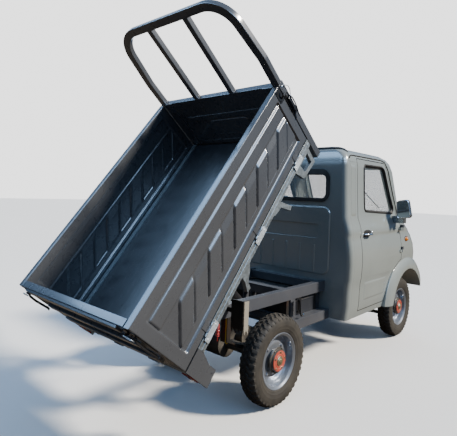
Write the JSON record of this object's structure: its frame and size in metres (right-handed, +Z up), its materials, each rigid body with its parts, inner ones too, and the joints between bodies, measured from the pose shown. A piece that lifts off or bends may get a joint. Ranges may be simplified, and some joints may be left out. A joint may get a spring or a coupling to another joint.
{
  "type": "electric cargo vehicle",
  "caption": "Small electric tipping truck with a snub-nosed closed cab, drop-side load bed raised on a hydraulic cylinder, hoop guard behind the cab and steered front wheels.",
  "frame": {"origin": "middle of the vehicle's box with the bed raised, on the ground", "axes": "+X forward, +Y to the driver's left, +Z up"},
  "size_m": [3.3938, 1.3856, 2.2882],
  "materials": {
    "cab_paint": "semi-gloss",
    "bed_paint": "semi-gloss",
    "frame_paint": "satin",
    "bed_rail": "satin",
    "rubber_tyre": "matte",
    "rim_metal": "satin",
    "axle_iron": "rough",
    "spring_steel": "satin",
    "battery_case": "matte",
    "glass": "clear",
    "lamp_lens": "gloss",
    "tail_lens": "gloss",
    "trim_plastic": "matte",
    "seat_cover": "matte",
    "ram_steel": "gloss",
    "rod_chrome": "polished",
    "bumper_plastic": "satin",
    "floor_paint": "satin",
    "seal_rubber": "matte"
  },
  "bodies": {
    "chassis": {"frame_upper_rails": "frame_paint", "frame_lower_rails": "frame_paint", "frame_crossmembers": "frame_paint", "bed_pivot": "frame_paint", "battery_pack": "battery_case", "rear_leaf_springs": "spring_steel", "rear_axle": "axle_iron", "front_axle": "axle_iron", "cab_floor": "cab_paint", "cab_back": "cab_paint", "cab_roof": "cab_paint", "cab_sides": "cab_paint", "cab_front": "cab_paint", "wheel_arches": "cab_paint", "front_bumper": "bumper_plastic", "cab_glass": "glass", "head_lamps": "lamp_lens", "dashboard": "trim_plastic", "seat": "seat_cover", "door_hinges": "frame_paint", "back_window_seal": "seal_rubber", "mud_flaps": "seal_rubber"},
    "door_left": {"door_left": "cab_paint", "door_glass_left": "glass", "mirror_left": "trim_plastic"},
    "door_right": {"door_right": "cab_paint", "door_glass_right": "glass", "mirror_right": "trim_plastic"},
    "knuckle_left": {"knuckle_left": "axle_iron"},
    "knuckle_right": {"knuckle_right": "axle_iron"},
    "tie_rod": {"tie_rod": "axle_iron"},
    "steering_wheel": {"steering_wheel": "trim_plastic"},
    "bed": {"bed_subframe": "bed_rail", "bed_floor": "floor_paint", "floor_strips": "bed_rail", "bed_brackets": "bed_rail", "headboard": "bed_paint", "cab_guard": "bed_paint", "tail_lamps": "tail_lens"},
    "side_board_left": {"side_board_left": "bed_paint"},
    "side_board_right": {"side_board_right": "bed_paint"},
    "tailgate": {"tailgate": "bed_paint"},
    "tip_cylinder": {"tip_cylinder": "ram_steel"},
    "tip_rod": {"tip_rod": "rod_chrome"},
    "wheel_front_left": {"tyre_front_left": "rubber_tyre", "rim_front_left": "rim_metal"},
    "wheel_front_right": {"tyre_front_right": "rubber_tyre", "rim_front_right": "rim_metal"},
    "wheel_rear_left": {"tyre_rear_left": "rubber_tyre", "rim_rear_left": "rim_metal"},
    "wheel_rear_right": {"tyre_rear_right": "rubber_tyre", "rim_rear_right": "rim_metal"}
  },
  "joints": [
    {"name": "bed_tip", "type": "hinge", "parent": "chassis", "child": "bed", "pos_m": [-1.07159, 0, 0.653], "axis": [0, 1, 0], "range_deg": [0, 50.86]},
    {"name": "tailgate_drop", "type": "hinge", "parent": "bed", "child": "tailgate", "pos_m": [-1.36767, 0, 0.42465], "axis": [0, -1, 0], "range_deg": [0, 180]},
    {"name": "side_board_left_drop", "type": "hinge", "parent": "bed", "child": "side_board_left", "pos_m": [-0.8305, 0.536, 1.08469], "axis": [-0.6312, 0, -0.7756], "range_deg": [0, 180]},
    {"name": "side_board_right_drop", "type": "hinge", "parent": "bed", "child": "side_board_right", "pos_m": [-0.8305, -0.536, 1.08469], "axis": [0.6312, 0, 0.7756], "range_deg": [0, 180]},
    {"name": "door_left_swing", "type": "hinge", "parent": "chassis", "child": "door_left", "pos_m": [1.18341, 0.574, 0.9], "axis": [0, 0, -1], "range_deg": [0, 65]},
    {"name": "door_right_swing", "type": "hinge", "parent": "chassis", "child": "door_right", "pos_m": [1.18341, -0.574, 0.9], "axis": [0, 0, 1], "range_deg": [0, 65]},
    {"name": "steer_left", "type": "hinge", "parent": "chassis", "child": "knuckle_left", "pos_m": [1.32541, 0.365, 0.27], "axis": [0, 0, 1], "range_deg": [-28, 28]},
    {"name": "steer_right", "type": "hinge", "parent": "chassis", "child": "knuckle_right", "pos_m": [1.32541, -0.365, 0.27], "axis": [0, 0, 1], "range_deg": [-28, 28]},
    {"name": "tie_rod_slide", "type": "slide", "parent": "chassis", "child": "tie_rod", "axis": [0, 1, 0], "range_m": [-0.04986, 0.04986]},
    {"name": "steering_wheel_turn", "type": "hinge", "parent": "chassis", "child": "steering_wheel", "pos_m": [0.88541, 0.25, 0.905], "axis": [-0.6428, 0, 0.766], "range_deg": [-420, 420]},
    {"name": "wheel_front_left_spin", "type": "hinge", "parent": "knuckle_left", "child": "wheel_front_left", "pos_m": [1.32541, 0.466, 0.27], "axis": [0, 1, 0], "continuous": true},
    {"name": "wheel_front_right_spin", "type": "hinge", "parent": "knuckle_right", "child": "wheel_front_right", "pos_m": [1.32541, -0.466, 0.27], "axis": [0, 1, 0], "continuous": true},
    {"name": "wheel_rear_left_spin", "type": "hinge", "parent": "chassis", "child": "wheel_rear_left", "pos_m": [-0.58459, 0.466, 0.27], "axis": [0, 1, 0], "continuous": true},
    {"name": "wheel_rear_right_spin", "type": "hinge", "parent": "chassis", "child": "wheel_rear_right", "pos_m": [-0.58459, -0.466, 0.27], "axis": [0, 1, 0], "continuous": true},
    {"name": "ram_swing", "type": "hinge", "parent": "chassis", "child": "tip_cylinder", "pos_m": [-0.33459, 0, 0.45], "axis": [0, 1, 0], "range_deg": [-14.08, 0]},
    {"name": "ram_slide", "type": "slide", "parent": "tip_cylinder", "child": "tip_rod", "axis": [-0.7366, 0, 0.6764], "range_m": [-0.26785, 0]}
  ],
  "couplings": [
    {"joint": "steer_right", "follows": "steer_left", "ratio": 1},
    {"joint": "tie_rod_slide", "follows": "steer_left", "m_per_rad": -0.101},
    {"joint": "steering_wheel_turn", "follows": "steer_left", "ratio": 15},
    {"joint": "ram_swing", "follows": "bed_tip", "ratio": -0.27673},
    {"joint": "ram_slide", "follows": "bed_tip", "m_per_rad": -0.30159}
  ]
}
